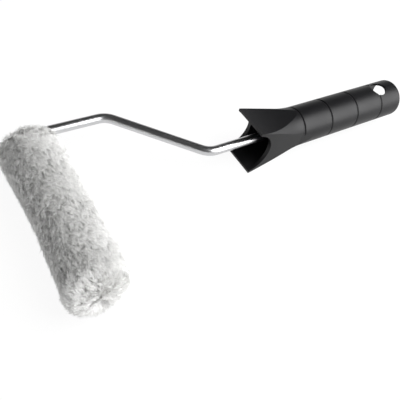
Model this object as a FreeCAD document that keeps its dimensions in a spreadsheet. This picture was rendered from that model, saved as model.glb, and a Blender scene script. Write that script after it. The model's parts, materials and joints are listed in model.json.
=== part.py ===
import FreeCAD, Part
import math
import os

import Sketcher

# Mini paint roller: a furry sleeve on a cranked wire frame, with a moulded handle that flares into a
# swallow-tail mouth. It lies on a flat surface, on the pile of its sleeve and on the lower lip of the
# mouth, with the wire frame level.
#
# Frame: +X along the handle towards its butt, -Y along the spindle towards the sleeve's free end, +Z up.
# The origin is under the middle of the whole roller, on the surface that it lies on.

doc = FreeCAD.newDocument("mini_paint_roller")

DRIVING_SIZES = {
    # Wire frame: one bent rod, measured along its centreline
    "wire_radius": 3.0,
    "front_bend_back": 26.2,       # mouth's front face to the bend in front of it
    "rear_bend_back": 71.5,        # mouth's front face to the second bend
    "spindle_back": 122.0,         # mouth's front face to the spindle's axis
    "crank_offset": 50.0,          # handle's axis to the run that leads to the sleeve
    "crank_bend_radius": 12.0,
    "elbow_radius": 8.0,
    "spindle_tip_clearance": 3.0,  # spindle's tip to the plug in the core tube's far end
    "wire_tip_chamfer": 0.8,
    # Handle: one moulding
    "handle_length": 135.0,
    "grip_radius": 13.2,
    "mouth_half_width": 12.4,
    "mouth_half_height": 17.0,
    "mouth_corner_radius": 21.1,   # round flare at the mouth's front face, which its flat sides cut
    "flare_length": 35.0,          # mouth's front face to where the cone would meet the grip
    "flare_blend_radius": 70.0,
    "scoop_length": 31.0,          # mouth's front face to the deepest point of its hollowed top
    "scoop_floor": 13.1,           # height of that point over the handle's axis
    "cheek_flat_length": 38.0,
    "cheek_run_out": 20.0,
    "mouth_wall": 1.6,
    "mouth_depth": 30.0,
    "mouth_floor_half_width": 8.0,
    "mouth_floor_half_height": 9.0,
    "mouth_lip": 1.8,              # height of the upper and lower front edges beyond the notch
    "notch_reach": 12.0,           # depth of the round bite that makes the swallow tail
    "boss_radius": 6.0,
    "boss_recess": 23.0,           # mouth's front face to the boss's face
    "wire_seat_depth": 62.0,       # mouth's front face to the wire's end in the handle
    "wire_seat_clearance": 0.02,
    "ring_groove_first": 40.3,
    "ring_groove_pitch": 24.8,
    "ring_groove_count": 4,
    "ring_groove_half_width": 0.8,
    "ring_groove_depth": 0.42,
    "pole_socket_radius": 12.0,
    "pole_socket_depth": 60.0,
    "hang_hole_radius": 6.1,
    "hang_hole_from_butt": 17.2,
    "butt_rounding": 0.7,
    # Sleeve and bearings: measured along the spindle from the run's centreline
    "washer_radius": 6.4,
    "washer_thickness": 1.7,
    "end_play": 0.3,
    "bush_flange_radius": 7.1,
    "bush_flange_thickness": 1.5,
    "bush_barrel_length": 12.0,
    "bush_running_clearance": 0.05,
    "tip_bush_length": 10.0,
    "retainer_radius": 5.2,
    "retainer_thickness": 0.8,
    "spindle_past_retainer": 2.6,
    "core_bore_radius": 6.4,
    "core_wall": 1.2,
    "core_grip_clearance": 0.03,
    "core_length": 89.5,
    "plug_barrel_length": 6.0,
    "plug_cap_thickness": 2.5,
    "plug_hollow_wall": 1.4,
    "pile_radius": 17.0,
    "pile_overhang": 3.5,          # pile past the core tube's open end
    "pile_past_core": 10.5,        # pile past the core tube's closed end
    "pile_entry_rounding": 4.0,
    "pile_end_rounding": 7.0,
    "pile_dimple_radius": 6.0,
    "pile_dimple_depth": 6.0,
}

SHEET_NAME = "Sizes"
sheet = doc.addObject("Spreadsheet::Sheet", SHEET_NAME)
for row, (alias, number) in enumerate(DRIVING_SIZES.items(), start=1):
    sheet.set(f"A{row}", alias)
    sheet.set(f"B{row}", str(number))
    sheet.setAlias(f"B{row}", alias)
doc.recompute()


class Size:
    """A length that knows both its number and the expression that yields it."""

    def __init__(self, number, text):
        self.number = number
        self.text = text

    @staticmethod
    def of(other):
        return other if isinstance(other, Size) else Size(float(other), str(other))

    def __add__(self, other):
        other = Size.of(other)
        return Size(self.number + other.number, f"({self.text} + {other.text})")

    def __sub__(self, other):
        other = Size.of(other)
        return Size(self.number - other.number, f"({self.text} - {other.text})")

    def __mul__(self, other):
        other = Size.of(other)
        return Size(self.number * other.number, f"({self.text} * {other.text})")

    def __truediv__(self, other):
        other = Size.of(other)
        return Size(self.number / other.number, f"({self.text} / {other.text})")

    def __neg__(self):
        return Size(-self.number, f"(-{self.text})")


def size(alias):
    return Size(sheet.get(alias), f"{SHEET_NAME}.{alias}")


def larger(first, second):
    return Size(max(first.number, second.number), f"max({first.text}; {second.text})")


ZERO = Size(0.0, "0")
wire_radius = size("wire_radius")
pile_radius = size("pile_radius")
grip_radius = size("grip_radius")
handle_length = size("handle_length")
spindle_back = size("spindle_back")
crank_offset = size("crank_offset")

# Stations along the spindle, from the centreline of the run that leads to the sleeve
washer_start = size("elbow_radius")
washer_end = washer_start + size("washer_thickness")
flange_start = washer_end + size("end_play")
core_start = flange_start + size("bush_flange_thickness")
core_end = core_start + size("core_length")
pile_start = core_start - size("pile_overhang")
pile_end = core_end + size("pile_past_core")
plug_start = core_end - size("plug_barrel_length")
spindle_tip = plug_start - size("spindle_tip_clearance")
retainer_end = spindle_tip - size("spindle_past_retainer")
retainer_start = retainer_end - size("retainer_thickness")
tip_bush_end = retainer_start - size("end_play")
tip_bush_start = tip_bush_end - size("tip_bush_length")

core_bore = size("core_bore_radius")
core_radius = core_bore + size("core_wall")
bush_bore = wire_radius + size("bush_running_clearance")
bush_barrel = core_bore - size("core_grip_clearance")

# Where the middle of the mouth's front face stands in the part's frame
mouth_x = (spindle_back + pile_radius - handle_length) / 2
mouth_y = (pile_end - crank_offset - crank_offset - wire_radius) / 2
axis_height = larger(pile_radius, size("mouth_half_height"))


def bind(thing, path, value):
    thing.setExpression(path, value.text)


def new_body(label):
    body = doc.addObject("PartDesign::Body", label)
    body.Label = label
    return body


def place(body, x, y, z, turn_about_x=0.0):
    body.Placement = FreeCAD.Placement(FreeCAD.Vector(x.number, y.number, z.number),
                                       FreeCAD.Rotation(FreeCAD.Vector(1, 0, 0), turn_about_x))
    bind(body, "Placement.Base.x", x)
    bind(body, "Placement.Base.y", y)
    bind(body, "Placement.Base.z", z)


def place_on_handle(body):
    place(body, mouth_x, mouth_y, axis_height)


def place_on_spindle(body):
    """Local +Z runs along the spindle, from the run's centreline towards the sleeve's free end."""
    quarter_turn = 90.0
    place(body, mouth_x - spindle_back, mouth_y + crank_offset, axis_height, quarter_turn)


def new_sketch(body, name, plane_role, offset=ZERO):
    sketch = body.newObject("Sketcher::SketchObject", name)
    plane = next(item for item in body.Origin.OriginFeatures if item.Role == plane_role)
    sketch.AttachmentSupport = (plane, [""])
    sketch.MapMode = "FlatFace"
    if offset is not ZERO:
        sketch.AttachmentOffset = FreeCAD.Placement(FreeCAD.Vector(0, 0, offset.number), FreeCAD.Rotation())
        bind(sketch, "AttachmentOffset.Base.z", offset)
    return sketch


ORIGIN = (-1, 1)               # geometry and point number of a sketch's origin
START, END, CENTRE = 1, 2, 3   # numbers of a line's or an arc's points


def pin_coordinate(sketch, kind, point, value):
    """Ties one coordinate of a sketch point to a size, whichever side of the origin it is on."""
    if value.number < 0:
        index = sketch.addConstraint(Sketcher.Constraint(kind, *point, *ORIGIN, -value.number))
        sketch.setExpression(f"Constraints[{index}]", (-value).text)
    else:
        index = sketch.addConstraint(Sketcher.Constraint(kind, *ORIGIN, *point, value.number))
        sketch.setExpression(f"Constraints[{index}]", value.text)


def pin_point(sketch, point, position):
    pin_coordinate(sketch, "DistanceX", point, position[0])
    pin_coordinate(sketch, "DistanceY", point, position[1])


def draw_polygon(sketch, corners):
    """A closed outline of straight lines through corners, each an (x, y) pair of sizes."""
    spots = [FreeCAD.Vector(x.number, y.number, 0) for x, y in corners]
    first = sketch.GeometryCount
    count = len(spots)
    for index in range(count):
        sketch.addGeometry(Part.LineSegment(spots[index], spots[(index + 1) % count]), False)
    for index in range(count):
        following = first + (index + 1) % count
        sketch.addConstraint(Sketcher.Constraint("Coincident", first + index, END, following, START))
    for index, corner in enumerate(corners):
        pin_point(sketch, (first + index, START), corner)


def draw_circle(sketch, centre, radius):
    middle = FreeCAD.Vector(centre[0].number, centre[1].number, 0)
    circle = sketch.addGeometry(Part.Circle(middle, FreeCAD.Vector(0, 0, 1), radius.number), False)
    pin_point(sketch, (circle, CENTRE), centre)
    index = sketch.addConstraint(Sketcher.Constraint("Radius", circle, radius.number))
    sketch.setExpression(f"Constraints[{index}]", radius.text)


def tangent_arc(before, corner, after, radius):
    """The arc of the given radius that rounds a corner, with its two tangent points."""
    to_before = (before - corner).normalize()
    to_after = (after - corner).normalize()
    half_angle = to_before.getAngle(to_after) / 2
    reach = radius / math.tan(half_angle)
    start = corner + to_before * reach
    end = corner + to_after * reach
    centre = corner + (to_before + to_after).normalize() * (radius / math.sin(half_angle))
    middle = centre + (corner - centre).normalize() * radius
    return start, end, Part.Arc(start, middle, end)


def draw_bent_path(sketch, corners, radii):
    """Straight runs through the corners, joined by tangent arcs, as a rod is bent."""
    spots = [FreeCAD.Vector(x.number, y.number, 0) for x, y in corners]
    line_start = spots[0]
    lines = []
    arcs = []
    for index, radius in enumerate(radii, start=1):
        start, end, arc = tangent_arc(spots[index - 1], spots[index], spots[index + 1], radius.number)
        lines.append(sketch.addGeometry(Part.LineSegment(line_start, start), False))
        arcs.append(sketch.addGeometry(arc, False))
        line_start = end
    lines.append(sketch.addGeometry(Part.LineSegment(line_start, spots[-1]), False))
    pin_point(sketch, (lines[0], START), corners[0])
    pin_point(sketch, (lines[-1], END), corners[-1])
    for index, radius in enumerate(radii):
        arc = arcs[index]
        turns_left = (spots[index + 1] - spots[index]).cross(spots[index + 2] - spots[index + 1]).z > 0
        arc_first, arc_last = (START, END) if turns_left else (END, START)
        sketch.addConstraint(Sketcher.Constraint("Tangent", lines[index], END, arc, arc_first))
        sketch.addConstraint(Sketcher.Constraint("Tangent", arc, arc_last, lines[index + 1], START))
        number = sketch.addConstraint(Sketcher.Constraint("Radius", arc, radius.number))
        sketch.setExpression(f"Constraints[{number}]", radius.text)
        marker = sketch.addGeometry(Part.Point(spots[index + 1]), True)
        pin_point(sketch, (marker, START), corners[index + 1])
        sketch.addConstraint(Sketcher.Constraint("PointOnObject", marker, START, lines[index]))
        sketch.addConstraint(Sketcher.Constraint("PointOnObject", marker, START, lines[index + 1]))


def cut_through(body, sketch, name):
    """Pocket through everything on both sides of the sketch's plane."""
    pocket = body.newObject("PartDesign::Pocket", name)
    pocket.Profile = sketch
    pocket.Type = "ThroughAll"
    pocket.Midplane = True
    return pocket


def cut_blind(body, sketch, name, depth, towards_plane_normal):
    pocket = body.newObject("PartDesign::Pocket", name)
    pocket.Profile = sketch
    pocket.Type = "Length"
    pocket.Length = depth.number
    pocket.Reversed = towards_plane_normal
    bind(pocket, "Length", depth)
    return pocket


def round_edges(body, feature, name, radius, wanted):
    """Fillet on the edges of a feature that the wanted function picks."""
    doc.recompute()
    edges = [f"Edge{number}" for number, edge in enumerate(feature.Shape.Edges, start=1) if wanted(edge)]
    fillet = body.newObject("PartDesign::Fillet", name)
    fillet.Base = (feature, edges)
    fillet.Radius = radius.number
    bind(fillet, "Radius", radius)
    return fillet


def is_ring(edge, station, radius):
    """True for a circular edge about the body's long axis, given as (axis name, place along it)."""
    axis_name, along = station
    curve = edge.Curve
    if not isinstance(curve, Part.Circle):
        return False
    tolerance = 1e-4
    on_station = abs(getattr(curve.Center, axis_name) - along.number) < tolerance
    return on_station and abs(curve.Radius - radius.number) < tolerance


def turned_body(label, profile):
    """A body turned about the spindle from (radius, station) corners."""
    body = new_body(label)
    sketch = new_sketch(body, f"{label}_profile", "XZ_Plane")
    draw_polygon(sketch, profile)
    turning = body.newObject("PartDesign::Revolution", f"{label}_turning")
    turning.Profile = sketch
    turning.ReferenceAxis = (sketch, ["V_Axis"])
    full_turn = 360.0
    turning.Angle = full_turn
    place_on_spindle(body)
    return body, turning


# Handle

def flare_profile(sketch):
    """Half section of the handle: a cone from the mouth to the round grip."""
    corners = [
        (ZERO, ZERO),
        (ZERO, size("mouth_corner_radius")),
        (size("flare_length"), grip_radius),
        (handle_length, grip_radius),
        (handle_length, ZERO),
    ]
    draw_polygon(sketch, corners)


def cheek_waste(sketch, sign):
    """What lies outside one flat side of the mouth, which runs out into the round grip."""
    half_width = size("mouth_half_width")
    flat_end = size("cheek_flat_length")
    run_out_end = flat_end + size("cheek_run_out")
    past_grip = grip_radius * 2 - half_width
    draw_polygon(sketch, [
        (-handle_length, half_width * sign),
        (flat_end, half_width * sign),
        (run_out_end, past_grip * sign),
        (run_out_end, handle_length * sign),
        (-handle_length, handle_length * sign),
    ])


def scoop_circle(sketch, sign):
    """The large round cutter that hollows the mouth's top or bottom between its lip and the grip."""
    length = size("scoop_length")
    drop = size("mouth_half_height") - size("scoop_floor")
    radius = (length * length / drop + drop) / 2
    draw_circle(sketch, (length, (size("scoop_floor") + radius) * sign), radius)


def draw_rectangle(sketch, half_width, half_height):
    corners = [
        (-half_width, -half_height),
        (half_width, -half_height),
        (half_width, half_height),
        (-half_width, half_height),
    ]
    draw_polygon(sketch, corners)


def make_handle():
    body = new_body("handle")
    half_height = size("mouth_half_height")
    half_width = size("mouth_half_width")

    section = new_sketch(body, "handle_section", "XY_Plane")
    flare_profile(section)
    moulding = body.newObject("PartDesign::Revolution", "handle_moulding")
    moulding.Profile = section
    moulding.ReferenceAxis = (section, ["H_Axis"])
    full_turn = 360.0
    moulding.Angle = full_turn

    # The cone meets the grip in a long soft blend
    round_edges(body, moulding, "flare_blend", size("flare_blend_radius"),
                lambda edge: is_ring(edge, ("x", size("flare_length")), grip_radius))

    # Flat cheeks left and right, and long scoops above and below
    for sign, side in ((1, "left"), (-1, "right")):
        cheek = new_sketch(body, f"{side}_cheek_waste", "XY_Plane")
        cheek_waste(cheek, sign)
        cut_through(body, cheek, f"{side}_cheek")
    for sign, side in ((1, "top"), (-1, "bottom")):
        scoop = new_sketch(body, f"{side}_scoop_circle", "XZ_Plane")
        scoop_circle(scoop, sign)
        cut_through(body, scoop, f"{side}_scoop")

    # The mouth narrows inwards to a floor that carries the wire's boss
    wall = size("mouth_wall")
    mouth_front = new_sketch(body, "mouth_front", "YZ_Plane")
    draw_rectangle(mouth_front, half_width - wall, half_height - wall)
    mouth_floor = new_sketch(body, "mouth_floor", "YZ_Plane", size("mouth_depth"))
    draw_rectangle(mouth_floor, size("mouth_floor_half_width"), size("mouth_floor_half_height"))
    mouth = body.newObject("PartDesign::SubtractiveLoft", "mouth")
    mouth.Profile = mouth_front
    mouth.Sections = [mouth_floor]
    mouth.Ruled = True

    boss_face = new_sketch(body, "boss_face", "YZ_Plane", size("boss_recess"))
    draw_circle(boss_face, (ZERO, ZERO), size("boss_radius"))
    boss = body.newObject("PartDesign::Pad", "boss")
    boss.Profile = boss_face
    boss_length = size("mouth_depth") - size("boss_recess")
    boss.Length = boss_length.number
    bind(boss, "Length", boss_length)

    notch = new_sketch(body, "notch_circle", "XZ_Plane")
    reach = size("notch_reach")
    notch_half_height = half_height - size("mouth_lip")
    notch_radius = (notch_half_height * notch_half_height / reach + reach) / 2
    draw_circle(notch, (reach - notch_radius, ZERO), notch_radius)
    cut_through(body, notch, "swallow_tail_notch")

    seat = new_sketch(body, "wire_seat_circle", "YZ_Plane")
    draw_circle(seat, (ZERO, ZERO), wire_radius + size("wire_seat_clearance"))
    cut_blind(body, seat, "wire_seat", size("wire_seat_depth"), True)

    socket = new_sketch(body, "pole_socket_circle", "YZ_Plane", handle_length)
    draw_circle(socket, (ZERO, ZERO), size("pole_socket_radius"))
    cut_blind(body, socket, "pole_socket", size("pole_socket_depth"), False)

    hole = new_sketch(body, "hang_hole_circle", "XY_Plane")
    draw_circle(hole, (handle_length - size("hang_hole_from_butt"), ZERO), size("hang_hole_radius"))
    cut_through(body, hole, "hang_hole")

    # Shallow rings round the grip
    first = size("ring_groove_first")
    half_groove = size("ring_groove_half_width")
    proud = grip_radius + half_groove
    ring = new_sketch(body, "ring_groove_section", "XY_Plane")
    draw_polygon(ring, [
        (first - half_groove, proud),
        (first - half_groove, grip_radius),
        (first, grip_radius - size("ring_groove_depth")),
        (first + half_groove, grip_radius),
        (first + half_groove, proud),
    ])
    groove = body.newObject("PartDesign::Groove", "ring_groove")
    groove.Profile = ring
    groove.ReferenceAxis = (ring, ["H_Axis"])
    groove.Angle = full_turn
    rings = body.newObject("PartDesign::LinearPattern", "ring_grooves")
    rings.Originals = [groove]
    rings.Direction = (ring, ["H_Axis"])
    rings.Occurrences = int(size("ring_groove_count").number)
    bind(rings, "Occurrences", size("ring_groove_count"))
    run = size("ring_groove_pitch") * (size("ring_groove_count") - 1)
    rings.Length = run.number
    bind(rings, "Length", run)
    body.Tip = rings

    round_edges(body, rings, "butt_edges", size("butt_rounding"),
                lambda edge: is_ring(edge, ("x", handle_length), grip_radius))
    place_on_handle(body)
    return body


# Wire frame

def make_wire_frame():
    body = new_body("wire_frame")
    path = new_sketch(body, "wire_path", "XY_Plane")
    corners = [
        (size("wire_seat_depth"), ZERO),
        (-size("front_bend_back"), ZERO),
        (-size("rear_bend_back"), crank_offset),
        (-spindle_back, crank_offset),
        (-spindle_back, crank_offset - spindle_tip),
    ]
    radii = [size("crank_bend_radius"), size("crank_bend_radius"), size("elbow_radius")]
    draw_bent_path(path, corners, radii)
    section = new_sketch(body, "wire_section", "YZ_Plane", size("wire_seat_depth"))
    draw_circle(section, (ZERO, ZERO), wire_radius)
    wire = body.newObject("PartDesign::AdditivePipe", "wire")
    wire.Profile = section
    wire.Spine = path
    doc.recompute()
    end_stations = [("y", crank_offset - spindle_tip), ("x", size("wire_seat_depth"))]
    ends = []
    for number, edge in enumerate(wire.Shape.Edges, start=1):
        if any(is_ring(edge, station, wire_radius) for station in end_stations):
            ends.append(f"Edge{number}")
    chamfer = body.newObject("PartDesign::Chamfer", "wire_ends")
    chamfer.Base = (wire, ends)
    chamfer.Size = size("wire_tip_chamfer").number
    bind(chamfer, "Size", size("wire_tip_chamfer"))
    place_on_handle(body)
    return body


# Bearings on the spindle

def make_stop_washer():
    """Push-on collar that keeps the sleeve off the elbow."""
    radius = size("washer_radius")
    body, _ = turned_body("stop_washer", [
        (wire_radius, washer_start),
        (radius, washer_start),
        (radius, washer_end),
        (wire_radius, washer_end),
    ])
    return body


def make_entry_bush():
    """Flanged bearing in the sleeve's open end."""
    barrel_end = core_start + size("bush_barrel_length")
    flange = size("bush_flange_radius")
    body, _ = turned_body("entry_bush", [
        (bush_bore, flange_start),
        (flange, flange_start),
        (flange, core_start),
        (bush_barrel, core_start),
        (bush_barrel, barrel_end),
        (bush_bore, barrel_end),
    ])
    return body


def make_tip_bush():
    """Plain bearing near the spindle's tip, inside the core tube."""
    body, _ = turned_body("tip_bush", [
        (bush_bore, tip_bush_start),
        (bush_barrel, tip_bush_start),
        (bush_barrel, tip_bush_end),
        (bush_bore, tip_bush_end),
    ])
    return body


def make_retaining_ring():
    """Spring-steel push nut that holds the bearings on the spindle."""
    radius = size("retainer_radius")
    body, _ = turned_body("retaining_ring", [
        (wire_radius, retainer_start),
        (radius, retainer_start),
        (radius, retainer_end),
        (wire_radius, retainer_end),
    ])
    return body


# Sleeve

def make_core_tube():
    body, _ = turned_body("core_tube", [
        (core_bore, core_start),
        (core_radius, core_start),
        (core_radius, core_end),
        (core_bore, core_end),
    ])
    return body


def make_head_plug():
    """Cap pressed into the core tube's far end, which the pile is gathered over."""
    cap_end = core_end + size("plug_cap_thickness")
    hollow = core_bore - size("plug_hollow_wall")
    body, _ = turned_body("head_plug", [
        (hollow, plug_start),
        (core_bore, plug_start),
        (core_bore, core_end),
        (core_radius, core_end),
        (core_radius, cap_end),
        (ZERO, cap_end),
        (ZERO, core_end),
        (hollow, core_end),
    ])
    return body


def make_pile_cover():
    """Pile fabric bonded round the core tube and gathered over its closed end into a dimple."""
    cap_end = core_end + size("plug_cap_thickness")
    dimple_floor = pile_end - size("pile_dimple_depth")
    body, turning = turned_body("pile_cover", [
        (core_radius, pile_start),
        (pile_radius, pile_start),
        (pile_radius, pile_end),
        (size("pile_dimple_radius"), pile_end),
        (ZERO, dimple_floor),
        (ZERO, cap_end),
        (core_radius, cap_end),
    ])
    entry = round_edges(body, turning, "entry_rounding", size("pile_entry_rounding"),
                        lambda edge: is_ring(edge, ("z", pile_start), pile_radius))
    round_edges(body, entry, "free_end_rounding", size("pile_end_rounding"),
                lambda edge: is_ring(edge, ("z", pile_end), pile_radius))
    return body


pieces = [
    make_handle(),
    make_wire_frame(),
    make_stop_washer(),
    make_entry_bush(),
    make_tip_bush(),
    make_retaining_ring(),
    make_core_tube(),
    make_head_plug(),
    make_pile_cover(),
]
doc.recompute()

failed = [thing.Name for thing in doc.Objects if {"Invalid", "Error"} & set(thing.State)]
if failed:
    raise RuntimeError(f"objects that did not compute: {failed}")
for piece in pieces:
    if piece.Shape.isNull() or not piece.Shape.isValid():
        raise RuntimeError(f"{piece.Label} has no valid shape")

os.makedirs("parts", exist_ok=True)
for piece in pieces:
    piece.Shape.exportStep(f"parts/{piece.Label}.step")
    box = piece.Shape.optimalBoundingBox(False, False)
    print(f"{piece.Label}: {len(piece.Shape.Solids)} solid, {piece.Shape.Volume:.1f} mm3, "
          f"x {box.XMin:.2f} to {box.XMax:.2f}, y {box.YMin:.2f} to {box.YMax:.2f}, "
          f"z {box.ZMin:.2f} to {box.ZMax:.2f}")
print(f"mouth front at {mouth_x.number:.3f}, {mouth_y.number:.3f}, axis height {axis_height.number:.3f}")
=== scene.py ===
import json
import math

import bmesh
import bpy
import numpy as np
from mathutils import Matrix, Vector, noise


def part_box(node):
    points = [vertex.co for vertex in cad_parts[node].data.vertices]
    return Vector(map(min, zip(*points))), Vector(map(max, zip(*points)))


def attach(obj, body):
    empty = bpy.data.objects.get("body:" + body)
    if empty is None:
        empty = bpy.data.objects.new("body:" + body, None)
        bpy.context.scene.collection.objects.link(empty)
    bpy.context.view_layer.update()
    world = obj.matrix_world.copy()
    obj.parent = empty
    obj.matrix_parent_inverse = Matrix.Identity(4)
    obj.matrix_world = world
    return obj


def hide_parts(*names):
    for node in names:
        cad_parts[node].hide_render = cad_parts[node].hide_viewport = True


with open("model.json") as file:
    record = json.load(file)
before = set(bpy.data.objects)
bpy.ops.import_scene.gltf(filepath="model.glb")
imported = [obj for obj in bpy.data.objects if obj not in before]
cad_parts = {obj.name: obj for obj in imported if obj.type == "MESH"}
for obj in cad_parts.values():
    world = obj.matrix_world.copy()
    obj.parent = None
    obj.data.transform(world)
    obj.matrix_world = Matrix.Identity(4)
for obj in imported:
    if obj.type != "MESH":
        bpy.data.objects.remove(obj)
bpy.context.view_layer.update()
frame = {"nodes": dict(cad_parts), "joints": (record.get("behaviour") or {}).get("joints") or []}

MM = 0.001
HEIGHT_NAME = "height_on_fibre"    # 0 at a fibre's root and 1 at its tip; it places the pile's painted root shade
NOISE_LOW = 0.3                    # a noise texture seldom leaves the range between these two
NOISE_HIGH = 0.7
WHITE = "FFFFFF"
nodes = frame["nodes"]
spin_axis = Vector(next(joint for joint in frame["joints"] if joint["name"] == "roller_spin")["pos_m"])


# Materials

def srgb(code):
    """Linear colour of an sRGB hex code."""
    channels = [int(code[start:start + 2], 16) / 255 for start in (0, 2, 4)]
    linear = [c / 12.92 if c <= 0.04045 else ((c + 0.055) / 1.055) ** 2.4 for c in channels]
    return (*linear, 1.0)


def add_node(tree, kind, settings=None, values=None, links=None):
    """One shader node: its own settings, the values of its sockets and what feeds them."""
    node = tree.nodes.new(kind)
    for name, value in (settings or {}).items():
        setattr(node, name, value)
    for name, value in (values or {}).items():
        node.inputs[name].default_value = value
    for name, source in (links or {}).items():
        tree.links.new(source, node.inputs[name])
    return node


def new_material(name):
    """An empty material, and the node tree to fill."""
    material = bpy.data.materials.new(name)
    material.use_nodes = True
    tree = material.node_tree
    tree.nodes.clear()
    return material, tree


def finish_material(tree, shader):
    add_node(tree, "ShaderNodeOutputMaterial", links={"Surface": shader})


def moulded_polypropylene():
    """Satin black polypropylene, injection moulded against a spark-eroded steel mould.
    The fine matt grain spreads highlights into broad grey bands."""
    material, tree = new_material("moulded_black_polypropylene")
    place = add_node(tree, "ShaderNodeTexCoord").outputs["Object"]
    grain_mm = 0.35        # coarser than the real grain, which would be too fine to show
    grain = add_node(tree, "ShaderNodeTexNoise",
                     values={"Scale": 1 / (grain_mm * MM), "Detail": 3.0, "Roughness": 0.6},
                     links={"Vector": place})
    flow_mm = 18.0
    flow = add_node(tree, "ShaderNodeTexNoise",
                    values={"Scale": 1 / (flow_mm * MM), "Detail": 2.0, "Roughness": 0.5},
                    links={"Vector": place})
    gloss = add_node(tree, "ShaderNodeMapRange",
                     values={"From Min": NOISE_LOW, "From Max": NOISE_HIGH,
                             "To Min": 0.40, "To Max": 0.46},
                     links={"Value": flow.outputs["Fac"]})
    colour = add_node(tree, "ShaderNodeValToRGB", links={"Fac": grain.outputs["Fac"]})
    colour.color_ramp.elements[0].color = srgb("080809")
    colour.color_ramp.elements[1].color = srgb("101012")
    relief = add_node(tree, "ShaderNodeBump", values={"Strength": 0.25, "Distance": 0.03 * MM},
                      links={"Height": grain.outputs["Fac"]})
    shader = add_node(tree, "ShaderNodeBsdfPrincipled",
                      values={"IOR": 1.49, "Specular IOR Level": 0.26},
                      links={"Base Color": colour.outputs["Color"],
                             "Roughness": gloss.outputs["Result"],
                             "Normal": relief.outputs["Normal"]})
    finish_material(tree, shader.outputs["BSDF"])
    return material


def plated_rod():
    """Drawn steel rod with bright zinc and chromate plating.
    It mirrors the studio in long bands, softened a little more in some places than in others."""
    material, tree = new_material("bright_plated_steel_rod")
    place = add_node(tree, "ShaderNodeTexCoord").outputs["Object"]
    cloud_mm = 6.0
    cloud = add_node(tree, "ShaderNodeTexNoise",
                     values={"Scale": 1 / (cloud_mm * MM), "Detail": 4.0, "Roughness": 0.6},
                     links={"Vector": place})
    gloss = add_node(tree, "ShaderNodeMapRange",
                     values={"From Min": NOISE_LOW, "From Max": NOISE_HIGH,
                             "To Min": 0.29, "To Max": 0.32},
                     links={"Value": cloud.outputs["Fac"]})
    tint = add_node(tree, "ShaderNodeValToRGB", links={"Fac": cloud.outputs["Fac"]})
    tint.color_ramp.elements[0].color = srgb("C4C4C6")
    tint.color_ramp.elements[1].color = srgb("CFCFD0")
    shader = add_node(tree, "ShaderNodeBsdfPrincipled", values={"Metallic": 1.0},
                      links={"Base Color": tint.outputs["Color"],
                             "Roughness": gloss.outputs["Result"]})
    finish_material(tree, shader.outputs["BSDF"])
    return material


def bearing_acetal():
    """Moulded white acetal of the bushes and the stop washer: waxy, with a soft gloss."""
    material, tree = new_material("natural_acetal")
    place = add_node(tree, "ShaderNodeTexCoord").outputs["Object"]
    mottle_mm = 1.2
    mottle = add_node(tree, "ShaderNodeTexNoise",
                      values={"Scale": 1 / (mottle_mm * MM), "Detail": 2.0},
                      links={"Vector": place})
    colour = add_node(tree, "ShaderNodeValToRGB", links={"Fac": mottle.outputs["Fac"]})
    colour.color_ramp.elements[0].color = srgb("D9D8D2")
    colour.color_ramp.elements[1].color = srgb("E8E7E1")
    relief = add_node(tree, "ShaderNodeBump", values={"Strength": 0.2, "Distance": 0.02 * MM},
                      links={"Height": mottle.outputs["Fac"]})
    shader = add_node(tree, "ShaderNodeBsdfPrincipled", values={"IOR": 1.48, "Roughness": 0.35},
                      links={"Base Color": colour.outputs["Color"],
                             "Normal": relief.outputs["Normal"]})
    finish_material(tree, shader.outputs["BSDF"])
    return material


def core_polypropylene():
    """Extruded grey polypropylene of the sleeve's core, with faint lines along the extrusion."""
    material, tree = new_material("extruded_grey_polypropylene")
    place = add_node(tree, "ShaderNodeTexCoord").outputs["Object"]
    line_mm = 0.5
    along = 0.03           # this share of the pattern along Y, so that its spots run on as lines
    drawn = add_node(tree, "ShaderNodeMapping", values={"Scale": (1.0, along, 1.0)},
                     links={"Vector": place})
    lines = add_node(tree, "ShaderNodeTexNoise",
                     values={"Scale": 1 / (line_mm * MM), "Detail": 2.0},
                     links={"Vector": drawn.outputs["Vector"]})
    colour = add_node(tree, "ShaderNodeValToRGB", links={"Fac": lines.outputs["Fac"]})
    colour.color_ramp.elements[0].color = srgb("74777B")
    colour.color_ramp.elements[1].color = srgb("84878B")
    relief = add_node(tree, "ShaderNodeBump", values={"Strength": 0.3, "Distance": 0.02 * MM},
                      links={"Height": lines.outputs["Fac"]})
    shader = add_node(tree, "ShaderNodeBsdfPrincipled", values={"IOR": 1.49, "Roughness": 0.45},
                      links={"Base Color": colour.outputs["Color"],
                             "Normal": relief.outputs["Normal"]})
    finish_material(tree, shader.outputs["BSDF"])
    return material


def sprung_steel():
    """Hardened spring steel of the push nut, stamped from strip: dull grey and slightly blotched."""
    material, tree = new_material("spring_steel")
    place = add_node(tree, "ShaderNodeTexCoord").outputs["Object"]
    blotch_mm = 0.6
    blotches = add_node(tree, "ShaderNodeTexNoise",
                        values={"Scale": 1 / (blotch_mm * MM), "Detail": 3.0},
                        links={"Vector": place})
    gloss = add_node(tree, "ShaderNodeMapRange",
                     values={"From Min": NOISE_LOW, "From Max": NOISE_HIGH,
                             "To Min": 0.28, "To Max": 0.42},
                     links={"Value": blotches.outputs["Fac"]})
    shader = add_node(tree, "ShaderNodeBsdfPrincipled",
                      values={"Metallic": 1.0, "Base Color": srgb("8A8B8F")},
                      links={"Roughness": gloss.outputs["Result"]})
    finish_material(tree, shader.outputs["BSDF"])
    return material


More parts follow.
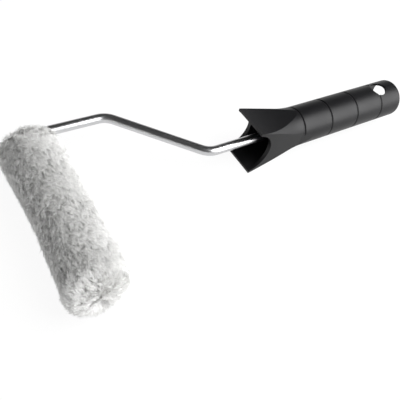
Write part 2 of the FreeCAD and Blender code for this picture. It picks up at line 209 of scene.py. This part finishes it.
def white_pile():
    """Bleached acrylic pile fibre, crimped and cut: white with a soft sheen at its tip.
    Greyer towards its root as painted shade, for the shade deep among the locks. Some light passes
    through, which keeps the shaded side soft."""
    material, tree = new_material("white_acrylic_pile")
    place = add_node(tree, "ShaderNodeTexCoord").outputs["Object"]
    height = add_node(tree, "ShaderNodeAttribute", {"attribute_name": HEIGHT_NAME})
    lock_mm = 1.6
    uneven = 0.18          # how much further up or down its fibres a lock is made to look, in its painted root shade
    passed = 0.35          # share of the light that passes through
    locks = add_node(tree, "ShaderNodeTexNoise",
                     values={"Scale": 1 / (lock_mm * MM), "Detail": 2.0, "Roughness": 0.5},
                     links={"Vector": place})
    shade = add_node(tree, "ShaderNodeMapRange",
                     values={"From Min": NOISE_LOW, "From Max": NOISE_HIGH,
                             "To Min": -uneven, "To Max": uneven},
                     links={"Value": locks.outputs["Fac"]})
    lit = add_node(tree, "ShaderNodeMath", {"operation": "ADD", "use_clamp": True},
                   links={0: height.outputs["Fac"], 1: shade.outputs["Result"]})
    # painted shade: grey at a fibre's root, white at its tip, for the shade among the locks
    colour = add_node(tree, "ShaderNodeValToRGB", links={"Fac": lit.outputs[0]})
    colour.color_ramp.elements[0].position = 0.28
    colour.color_ramp.elements[0].color = srgb("DADAD9")
    colour.color_ramp.elements[1].position = 0.92
    colour.color_ramp.elements[1].color = srgb("FDFDFC")
    front = add_node(tree, "ShaderNodeBsdfPrincipled",
                     values={"Roughness": 0.34, "IOR": 1.5},
                     links={"Base Color": colour.outputs["Color"]})
    through = add_node(tree, "ShaderNodeBsdfTranslucent", links={"Color": colour.outputs["Color"]})
    fibre = add_node(tree, "ShaderNodeMixShader", values={0: passed})
    tree.links.new(front.outputs["BSDF"], fibre.inputs[1])
    tree.links.new(through.outputs["BSDF"], fibre.inputs[2])
    finish_material(tree, fibre.outputs["Shader"])
    return material


def pile_backing():
    """Knitted backing and the dense roots of the pile: matt, soft and a little mottled. Its grey is
    painted shade deep among the roots.
    """
    material, tree = new_material("pile_backing")
    place = add_node(tree, "ShaderNodeTexCoord").outputs["Object"]
    knit_mm = 0.9
    knit = add_node(tree, "ShaderNodeTexNoise",
                    values={"Scale": 1 / (knit_mm * MM), "Detail": 4.0, "Roughness": 0.7},
                    links={"Vector": place})
    # painted shade: a grey darker than the fibre tips, for the shade among the roots; the mottle follows
    # the knit
    colour = add_node(tree, "ShaderNodeValToRGB", links={"Fac": knit.outputs["Fac"]})
    colour.color_ramp.elements[0].position = NOISE_LOW
    colour.color_ramp.elements[0].color = srgb("DADAD8")
    colour.color_ramp.elements[1].position = NOISE_HIGH
    colour.color_ramp.elements[1].color = srgb("E6E6E4")
    relief = add_node(tree, "ShaderNodeBump", values={"Strength": 0.6, "Distance": 0.25 * MM},
                      links={"Height": knit.outputs["Fac"]})
    shader = add_node(tree, "ShaderNodeBsdfPrincipled", values={"Roughness": 0.9, "IOR": 1.45},
                      links={"Base Color": colour.outputs["Color"],
                             "Normal": relief.outputs["Normal"]})
    finish_material(tree, shader.outputs["BSDF"])
    return material


def dress(node_name, material):
    """Give one node of the frame its material."""
    mesh = nodes[node_name].data
    mesh.materials.clear()
    mesh.materials.append(material)


acetal = bearing_acetal()
core_grey = core_polypropylene()
dress("handle", moulded_polypropylene())
dress("wire_frame", plated_rod())
dress("stop_washer", acetal)
dress("entry_bush", acetal)
dress("tip_bush", acetal)
dress("retaining_ring", sprung_steel())
dress("core_tube", core_grey)
dress("head_plug", core_grey)


# Pile: a lumpy ground of packed roots with thousands of soft locks of fibre on it

pile_low, pile_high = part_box("pile_cover")
core_low, core_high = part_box("core_tube")
PILE_RADIUS = (pile_high.x - pile_low.x) / 2
CORE_RADIUS = (core_high.x - core_low.x) / 2
ENTRY_Y = pile_high.y              # the sleeve's open end, by the elbow
FREE_Y = pile_low.y                # its gathered end
GROUND_DEPTH = 2.3 * MM            # roots' surface below the longest tips, on the barrel
ENTRY_DEPTH = 0.5 * MM             # the same at the open end
FREE_DEPTH = 0.4 * MM              # and at the gathered end
ROOT_DEPTH = 0.6 * MM              # locks' roots below that surface
ENTRY_ROUNDING = 4.0 * MM
FREE_ROUNDING = 9.0 * MM
DIMPLE_RADIUS = 4.5 * MM
DIMPLE_DEPTH = 4.0 * MM
DIMPLE_SHIFT = Vector((-2.1, 0.0, -0.5)) * MM   # the gathered end isn't quite central
GATHER_Y = FREE_Y + 12 * MM        # where the pile begins to gather
GATHER_LENGTH = 9 * MM             # and how much further on it is fully gathered
BORE_STEPS = 3                     # of the section along the bore, which carries no locks
TURN_STEPS = 112                   # of the section round the spindle
STIFF_WALL = 0.5 * MM              # on the barrel, ground this close to the core isn't pushed
WELD = 0.01 * MM                   # points nearer than this are one
LUMP_HEIGHT = 0.30                 # in millimetres, as are the heights of petals and tufts
BROAD_LUMP = 8 * MM
FINE_LUMP = 2.6 * MM
PETALS = 9                         # folds of the gathered end
PETAL_HEIGHT = 0.9
PETAL_FOOT = 0.7                   # share of a petal that is sunk below the smooth section
PETAL_REACH = 8 * MM               # radius from which petals have their full height
PETAL_SHIFT = 0.9                  # makes petals broader on some sides and narrower on others
PETAL_PHASE = 0.6
TUFT_HEIGHT = 0.7                  # of the rough tufts at the gathered end
TUFT_SIZE = 4.5 * MM
PRESSED_Y = ENTRY_Y - 50 * MM      # middle of the stretch where the pile is pressed flatter
PRESSED_SPREAD = 28 * MM           # how far from there the pressing dies away
PRESSED_ANGLE = math.radians(205)  # where it is, round the spindle from +X towards +Z
PRESSED_DEPTH = 2.0 * MM
PILE_SEED = 41
noise.seed_set(PILE_SEED)          # without it noise vectors, and so the pile, change with each run


def profile_arc(centre, radius, start_deg, end_deg, steps):
    """Points and outward normals along an arc of the sleeve's (y, radius) section."""
    rows = []
    for step in range(steps + 1):
        angle = math.radians(start_deg + (end_deg - start_deg) * step / steps)
        normal = (math.cos(angle), math.sin(angle))
        rows.append((centre[0] + radius * normal[0], centre[1] + radius * normal[1], *normal))
    return rows


def profile_line(start, end, normal, steps):
    """Points along a straight stretch of that section, all with the same normal."""
    rows = []
    for step in range(steps + 1):
        share = step / steps
        along = start[0] + (end[0] - start[0]) * share
        radius = start[1] + (end[1] - start[1]) * share
        rows.append((along, radius, *normal))
    return rows


def pile_section(sunk):
    """Half section of the pile's ground, sunk by a given depth, from its open to its gathered end."""
    outer = PILE_RADIUS - GROUND_DEPTH - sunk
    entry = ENTRY_Y - ENTRY_DEPTH - sunk
    free = FREE_Y + FREE_DEPTH + sunk
    entry_round = ENTRY_ROUNDING - sunk
    free_round = FREE_ROUNDING - sunk
    rim = outer - free_round
    bore = profile_line((core_high.y, CORE_RADIUS), (entry, CORE_RADIUS), (0, -1), BORE_STEPS)
    entry_face = profile_line((entry, CORE_RADIUS), (entry, outer - entry_round), (1, 0), steps=4)
    entry_arc = profile_arc((entry - entry_round, outer - entry_round), entry_round, 0, 90, steps=8)
    barrel = profile_line((entry - entry_round, outer), (free + free_round, outer), (0, 1), steps=70)
    free_arc = profile_arc((free + free_round, rim), free_round, 90, 180, steps=12)
    free_face = profile_line((free, rim), (free, DIMPLE_RADIUS), (-1, 0), steps=3)
    slope = math.hypot(DIMPLE_DEPTH, DIMPLE_RADIUS)
    inward = (-DIMPLE_RADIUS / slope, -DIMPLE_DEPTH / slope)
    dimple = profile_line((free, DIMPLE_RADIUS), (free + DIMPLE_DEPTH, 0.0), inward, steps=5)
    rows = bore + entry_face
    for stretch in (entry_arc, barrel, free_arc, free_face, dimple):
        rows += stretch[1:]
    return rows


def around_spindle(along, radius, angle):
    """The place at that radius and angle round the spindle."""
    across = spin_axis.x + radius * math.cos(angle)
    return Vector((across, along, spin_axis.z + radius * math.sin(angle)))


def gather(along):
    """How much the pile is gathered here: 0 on the barrel, 1 at the free end."""
    return min(1.0, max(0.0, (GATHER_Y - along) / GATHER_LENGTH))


def settle(spot, normal, angle, radius):
    """Where a point of the smooth section ends up: in lumps, and at the free end in petals."""
    share = gather(spot.y)
    broad = LUMP_HEIGHT * noise.noise(spot / BROAD_LUMP)
    fine = LUMP_HEIGHT * noise.noise(spot / FINE_LUMP)
    shifted = PETAL_SHIFT * math.sin(2 * angle + PETAL_PHASE)
    wave = abs(math.sin(PETALS / 2 * angle + shifted))
    petal = (math.sqrt(wave) - PETAL_FOOT) * PETAL_HEIGHT * min(1.0, radius / PETAL_REACH)
    rough = TUFT_HEIGHT * noise.noise(spot / TUFT_SIZE)
    out = (broad + fine + share * (petal + rough)) * MM
    inner = max(0.0, 1.0 - radius / PILE_RADIUS)
    away = (spot.y - PRESSED_Y) / PRESSED_SPREAD
    facing = max(0.0, math.cos(angle - PRESSED_ANGLE))
    pressed = PRESSED_DEPTH * facing * facing * math.exp(-away * away)
    return spot + normal * (out - pressed) + DIMPLE_SHIFT * share * inner


def finish_piece(name, mesh, material, body, replaced):
    """Make the mesh a piece that rides on a body and stands in for the nodes named."""
    piece = bpy.data.objects.new(name, mesh)
    bpy.context.scene.collection.objects.link(piece)
    mesh.materials.append(material)
    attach(piece, body)
    if replaced:
        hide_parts(*replaced)


def make_pile_ground(material):
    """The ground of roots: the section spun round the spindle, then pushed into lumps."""
    shape = bmesh.new()
    section = pile_section(0.0)
    places = [around_spindle(along, radius, 0.0) for along, radius, _, _ in section]
    verts = [shape.verts.new(place) for place in places]
    edges = [shape.edges.new(pair) for pair in zip(verts, verts[1:])]
    bmesh.ops.spin(shape, geom=verts + edges, cent=spin_axis, axis=(0, 1, 0), dvec=(0, 0, 0),
                   angle=math.tau, steps=TURN_STEPS, use_merge=True, use_duplicate=False)
    bmesh.ops.remove_doubles(shape, verts=shape.verts, dist=WELD)
    bmesh.ops.recalc_face_normals(shape, faces=shape.faces)
    shape.normal_update()
    for vert in shape.verts:
        radial = Vector((vert.co.x - spin_axis.x, 0, vert.co.z - spin_axis.z))
        if radial.length > CORE_RADIUS + STIFF_WALL or vert.co.y < GATHER_Y:
            angle = math.atan2(radial.z, radial.x)
            vert.co = settle(vert.co, vert.normal, angle, radial.length)
    mesh = bpy.data.meshes.new("pile_ground")
    shape.to_mesh(mesh)
    shape.free()
    mesh.shade_smooth()
    finish_piece("pile_ground", mesh, material, "sleeve", ["pile_cover"])


# Locks of fibre, scattered over the ground

LOCK_PIECES = 5
LOCKS_PER_PIECE = 3600
LOCK_SHAPES = 12                   # different ones in each piece
LOCK_SIZES = (0.75, 1.15)          # a lock's scale, from and to
LOCK_SPREAD = 0.47 * MM            # how far apart a lock's roots stand
LOCK_BEND = 0.22                   # share of its length that a lock swings aside towards its tips
FIBRES_PER_LOCK = 9
FIBRE_LENGTHS = (3.8, 5.6)         # in millimetres, and so are the widths
FIBRE_WIDTHS = (0.26, 0.40)
FIBRE_LEANS = (0.58, 0.92)         # share of its length that a fibre reaches forward, about
FIBRE_SWAY = 0.13                  # and aside
FIBRE_TWIST = 0.8                  # radians, as is the further twist at the tip
TIP_NARROWER = 0.8                 # share of its width that a fibre loses towards its tip
TIP_TWIST = 1.2
TIPS_TOGETHER = 0.9                # share of the roots' spread that is gone at the tips
LEAN_AT_ROOT = 0.45
LEAN_GAINED = 0.5                  # from root to tip
DROOP = 0.58                       # share of its height that a leaning fibre loses at its tip
EDDY_SIZE = 11 * MM
EDDY_PULL = 0.8
SWIRL_SIZE = 3 * MM                # small swirls within the eddies
SWIRL_PULL = 0.5
STRAY_PULL = 0.26                  # of single locks
OUTWARD_PULL = 1.3                 # away from the dimple, at the gathered end
ORDER_AT_END = 0.9                 # share of eddies, swirls and strays that is gone there
DIMPLE_EXTRA = 1.0 * MM            # counted in when roots are shared out, or the dimple is bare
PALE_AT_END = 0.85                 # at the gathered end the painted root shade is no darker than at this height


def make_lock_shape(chance):
    """One lock: flat tapered fibres that leave one root and lie over together towards +X, tips up +Z."""
    shape = bmesh.new()
    heights = shape.verts.layers.float.new(HEIGHT_NAME)
    half = 0.5             # of the unit square that each fibre starts from
    bend = chance.normal(0, LOCK_BEND)
    for _ in range(FIBRES_PER_LOCK):
        start = Vector((chance.normal(0, LOCK_SPREAD), chance.normal(0, LOCK_SPREAD), 0))
        length = chance.uniform(*FIBRE_LENGTHS) * MM
        lean = chance.uniform(*FIBRE_LEANS)
        sway = chance.normal(0, FIBRE_SWAY)
        twist = chance.uniform(-FIBRE_TWIST, FIBRE_TWIST)
        width = chance.uniform(*FIBRE_WIDTHS) * MM
        strip = bmesh.ops.create_grid(shape, x_segments=1, y_segments=3, size=half)["verts"]
        for vert in strip:
            share = vert.co.y + half
            side = vert.co.x * width * (1.0 - TIP_NARROWER * share)
            reach = length * share
            turned = twist + TIP_TWIST * share
            apart = 1.0 - TIPS_TOGETHER * share
            forward = start.x * apart + lean * reach * (LEAN_AT_ROOT + LEAN_GAINED * share)
            aside = start.y * apart + (sway + bend * share) * reach + side * math.cos(turned)
            up = reach * (1.0 - DROOP * lean * share) + side * math.sin(turned)
            vert[heights] = share
            vert.co = Vector((forward, aside, up))
    mesh = bpy.data.meshes.new("lock_shape")
    shape.to_mesh(mesh)
    shape.free()
    return mesh


def lock_arrays(mesh):
    """A lock's points, its faces' corners and each point's height on its fibre."""
    points = np.empty(len(mesh.vertices) * 3)
    mesh.vertices.foreach_get("co", points)
    corners = np.empty(len(mesh.loops), dtype=np.int64)
    mesh.loops.foreach_get("vertex_index", corners)
    heights = np.empty(len(mesh.vertices))
    mesh.attributes[HEIGHT_NAME].data.foreach_get("value", heights)
    return points.reshape(-1, 3), corners.reshape(-1, 4), heights


def lock_places(chance, count):
    """Roots scattered evenly over the sleeve, each with its outward normal and its angle."""
    section = np.array(pile_section(ROOT_DEPTH)[BORE_STEPS:])
    steps = np.hypot(np.diff(section[:, 0]), np.diff(section[:, 1]))
    ring = steps * (section[1:, 1] + section[:-1, 1] + DIMPLE_EXTRA)
    total = np.concatenate([[0.0], np.cumsum(ring)])
    picks = np.sort(chance.uniform(0, total[-1], count))
    places = []
    for pick in picks:
        index = min(np.searchsorted(total, pick, side="right") - 1, len(ring) - 1)
        share = (pick - total[index]) / ring[index]
        along, radius, out_y, out_r = section[index] * (1 - share) + section[index + 1] * share
        angle = chance.uniform(0, math.tau)
        root = around_spindle(along, radius, angle)
        normal = Vector((out_r * math.cos(angle), out_y, out_r * math.sin(angle))).normalized()
        places.append((settle(root, normal, angle, radius), normal, angle))
    return places


def lay_direction(root, normal, angle, chance):
    """Which way the pile lies: along the sleeve in soft eddies, and outwards round the dimple."""
    eddy = noise.noise_vector(root / EDDY_SIZE)
    swirl = noise.noise_vector(root / SWIRL_SIZE)
    outward = Vector((math.cos(angle), 0, math.sin(angle)))
    share = gather(root.y)
    stray = Vector(chance.normal(0, STRAY_PULL, 3))
    order = Vector((0, share - 1, 0)) + outward * (OUTWARD_PULL * share)
    disorder = eddy * EDDY_PULL + swirl * SWIRL_PULL + stray
    wish = order + disorder * (1 - ORDER_AT_END * share)
    return (wish - normal * wish.dot(normal)).normalized()


def make_pile_locks(name, material, chance, count):
    """A share of the pile's locks, as one mesh."""
    shapes = [lock_arrays(make_lock_shape(chance)) for _ in range(LOCK_SHAPES)]
    points = []
    faces = []
    heights = []
    filled = 0
    for root, normal, angle in lock_places(chance, count):
        lay = lay_direction(root, normal, angle, chance)
        side = normal.cross(lay)
        size = chance.uniform(*LOCK_SIZES)
        turn = np.array([lay, side, normal]) * size
        local, quads, rise = shapes[chance.integers(LOCK_SHAPES)]
        points.append(local @ turn + np.array(root))
        faces.append(quads + filled)
        # painted shade: the gathered end gets little of the painted root shade
        heights.append(np.maximum(rise, PALE_AT_END * gather(root.y)))
        filled += len(local)
    mesh = bpy.data.meshes.new(name)
    mesh.from_pydata(np.concatenate(points).tolist(), [], np.concatenate(faces).tolist())
    mesh.update()
    mesh.shade_smooth()
    kept = mesh.attributes.new(HEIGHT_NAME, "FLOAT", "POINT")
    kept.data.foreach_set("value", np.concatenate(heights))
    finish_piece(name, mesh, material, "sleeve", [])


pile_fibre = white_pile()
make_pile_ground(pile_backing())
for number in range(LOCK_PIECES):
    dice = np.random.default_rng(PILE_SEED + number)
    make_pile_locks(f"pile_locks_{number + 1}", pile_fibre, dice, LOCKS_PER_PIECE)


# Studio: white floor and world, a lamp for matt surfaces, a room and a panel for glossy ones

FLOOR_HALF = 3.0                   # metres, as are the other sizes here
GLOW_NEAR = 0.93                   # share of plain white in the floor as seen, the rest is lit paper
FADE_START = 0.3                   # from this far out that share grows
FADE_END = 1.2                     # until here, where the floor is all white
FILL_LIGHT = 0.34
ROOM_RADIUS = 2.0
WALL_FOOT = 0.2                    # the room begins at this height and glossy surfaces see white below
CEILING = 0.9                      # from this height up it is darkest
WALL_GLOW = 0.4
CEILING_GLOW = 0.06
PANEL_EVEN = 0.6                   # share of the panel's half size that is evenly bright
SPINDLE_TO_MIDDLE = 0.12           # along X, to about the middle of the whole roller
middle = spin_axis + Vector((SPINDLE_TO_MIDDLE, 0, 0))


def studio_white():
    """Matt white paper. Seen directly it is near white, and it still takes the object's shadow.
    Further out it fades into the white beyond, so no horizon shows."""
    material, tree = new_material("studio_paper")
    path = add_node(tree, "ShaderNodeLightPath")
    seen = add_node(tree, "ShaderNodeMath", {"operation": "ADD", "use_clamp": True})
    tree.links.new(path.outputs["Is Camera Ray"], seen.inputs[0])
    mirrored = add_node(tree, "ShaderNodeMath", {"operation": "ADD", "use_clamp": True})
    tree.links.new(path.outputs["Is Glossy Ray"], mirrored.inputs[0])
    tree.links.new(path.outputs["Is Transmission Ray"], mirrored.inputs[1])
    tree.links.new(mirrored.outputs[0], seen.inputs[1])
    paper = add_node(tree, "ShaderNodeBsdfDiffuse", values={"Color": srgb("F4F4F4")})
    glow = add_node(tree, "ShaderNodeEmission", values={"Color": srgb(WHITE), "Strength": 1.0})
    place = add_node(tree, "ShaderNodeTexCoord").outputs["Object"]
    far = add_node(tree, "ShaderNodeVectorMath", {"operation": "LENGTH"}, links={0: place})
    share = add_node(tree, "ShaderNodeMapRange", {"interpolation_type": "SMOOTHSTEP"},
                     {"From Min": FADE_START, "From Max": FADE_END,
                      "To Min": GLOW_NEAR, "To Max": 1.0},
                     {"Value": far.outputs["Value"]})
    lift = add_node(tree, "ShaderNodeMath", {"operation": "MULTIPLY"},
                    links={0: seen.outputs[0], 1: share.outputs["Result"]})
    mix = add_node(tree, "ShaderNodeMixShader", links={0: lift.outputs[0]})
    tree.links.new(paper.outputs["BSDF"], mix.inputs[1])
    tree.links.new(glow.outputs["Emission"], mix.inputs[2])
    finish_material(tree, mix.outputs["Shader"])
    return material


def make_floor():
    """The paper under the roller."""
    shape = bmesh.new()
    bmesh.ops.create_grid(shape, x_segments=1, y_segments=1, size=FLOOR_HALF)
    stage_mesh("studio_floor", shape, studio_white())


def make_world():
    """The same white beyond the floor, and an even soft fill on everything matt."""
    world = bpy.data.worlds.new("studio")
    world.use_nodes = True
    tree = world.node_tree
    tree.nodes.clear()
    path = add_node(tree, "ShaderNodeLightPath")
    white = add_node(tree, "ShaderNodeBackground",
                     values={"Color": srgb(WHITE), "Strength": 1.0})
    fill = add_node(tree, "ShaderNodeBackground",
                    values={"Color": srgb(WHITE), "Strength": FILL_LIGHT})
    matt = add_node(tree, "ShaderNodeMixShader", links={0: path.outputs["Is Diffuse Ray"]})
    tree.links.new(white.outputs["Background"], matt.inputs[1])
    tree.links.new(fill.outputs["Background"], matt.inputs[2])
    add_node(tree, "ShaderNodeOutputWorld", links={"Surface": matt.outputs["Shader"]})
    bpy.context.scene.world = world


def stage_mesh(name, shape, material):
    """Turn a finished shape into part of the studio."""
    mesh = bpy.data.meshes.new(name)
    shape.to_mesh(mesh)
    shape.free()
    mesh.materials.append(material)
    thing = bpy.data.objects.new(name, mesh)
    bpy.context.scene.collection.objects.link(thing)
    return thing


def only_mirrored(thing):
    """Leave it to glossy surfaces alone to see it."""
    thing.visible_camera = False
    thing.visible_diffuse = False
    thing.visible_transmission = False
    thing.visible_shadow = False


def make_dark_room():
    """Dim walls and a dark ceiling. They begin a little above the floor."""
    material, tree = new_material("unlit_room")
    place = add_node(tree, "ShaderNodeTexCoord").outputs["Object"]
    height = add_node(tree, "ShaderNodeSeparateXYZ", links={"Vector": place}).outputs["Z"]
    dusk = add_node(tree, "ShaderNodeMapRange", {"interpolation_type": "SMOOTHSTEP"},
                    {"From Min": WALL_FOOT, "From Max": CEILING,
                     "To Min": WALL_GLOW, "To Max": CEILING_GLOW},
                    {"Value": height})
    glow = add_node(tree, "ShaderNodeEmission", values={"Color": srgb(WHITE)},
                    links={"Strength": dusk.outputs["Result"]})
    finish_material(tree, glow.outputs["Emission"])
    shape = bmesh.new()
    bmesh.ops.create_uvsphere(shape, u_segments=48, v_segments=24, radius=ROOM_RADIUS)
    low = [vert for vert in shape.verts if vert.co.z < WALL_FOOT]
    bmesh.ops.delete(shape, geom=low, context="VERTS")
    only_mirrored(stage_mesh("dark_room", shape, material))


def from_middle(direction, distance):
    """A place that far from the roller's middle, and the turn that faces something there back."""
    way = Vector(direction).normalized()
    return middle + way * distance, way.to_track_quat("Z", "Y")


def add_key_lamp(direction, distance, width, watts):
    """A square soft lamp. Glossy surfaces don't see it and mirror the panel instead."""
    light = bpy.data.lights.new("key_lamp", "AREA")
    light.shape = "SQUARE"
    light.size = width
    light.energy = watts
    lamp = bpy.data.objects.new("key_lamp", light)
    bpy.context.scene.collection.objects.link(lamp)
    lamp.location, turn = from_middle(direction, distance)
    lamp.rotation_euler = turn.to_euler()
    lamp.visible_glossy = False


def make_mirrored_panel(direction, distance, half_size, strength):
    """The soft light as glossy surfaces mirror it: even in its middle, and fading towards its rim."""
    centre, turn = from_middle(direction, distance)
    material, tree = new_material("panel_glow")
    place = add_node(tree, "ShaderNodeTexCoord").outputs["Object"]
    off_centre = add_node(tree, "ShaderNodeVectorMath", {"operation": "DISTANCE"},
                          {1: centre}, {0: place})
    fade = add_node(tree, "ShaderNodeMapRange", {"interpolation_type": "SMOOTHSTEP"},
                    {"From Min": PANEL_EVEN * half_size, "From Max": half_size,
                     "To Min": strength, "To Max": 0.0},
                    {"Value": off_centre.outputs["Value"]})
    emission = add_node(tree, "ShaderNodeEmission", values={"Color": srgb(WHITE)},
                        links={"Strength": fade.outputs["Result"]})
    finish_material(tree, emission.outputs["Emission"])
    shape = bmesh.new()
    bmesh.ops.create_grid(shape, x_segments=1, y_segments=1, size=half_size,
                          matrix=Matrix.Translation(centre) @ turn.to_matrix().to_4x4())
    only_mirrored(stage_mesh("mirrored_panel", shape, material))


def make_camera():
    """The photograph's own view, solved from the object's outlines there."""
    right = Vector((0.8394, -0.5133, 0.1788))
    up = Vector((0.3047, 0.7168, 0.6272))
    back = right.cross(up).normalized()
    up = back.cross(right).normalized()
    data = bpy.data.cameras.new("photo_view")
    data.sensor_width = 36.0
    data.lens = 42.37
    data.clip_start = 0.01
    camera = bpy.data.objects.new("photo_view", data)
    bpy.context.scene.collection.objects.link(camera)
    turn = Matrix((right.normalized(), up, back)).transposed().to_4x4()
    from_spindle = Vector((-46.51, -152.89, 197.66)) * MM
    camera.matrix_world = Matrix.Translation(spin_axis + from_spindle) @ turn
    bpy.context.scene.camera = camera


make_floor()
make_world()
make_dark_room()
add_key_lamp(direction=(0.54, -0.37, 0.76), distance=0.8, width=0.9, watts=16.5)
make_mirrored_panel(direction=(0.58, -0.62, 0.52), distance=0.8, half_size=0.58, strength=6.4)
make_camera()
bpy.context.scene.view_settings.view_transform = "Standard"
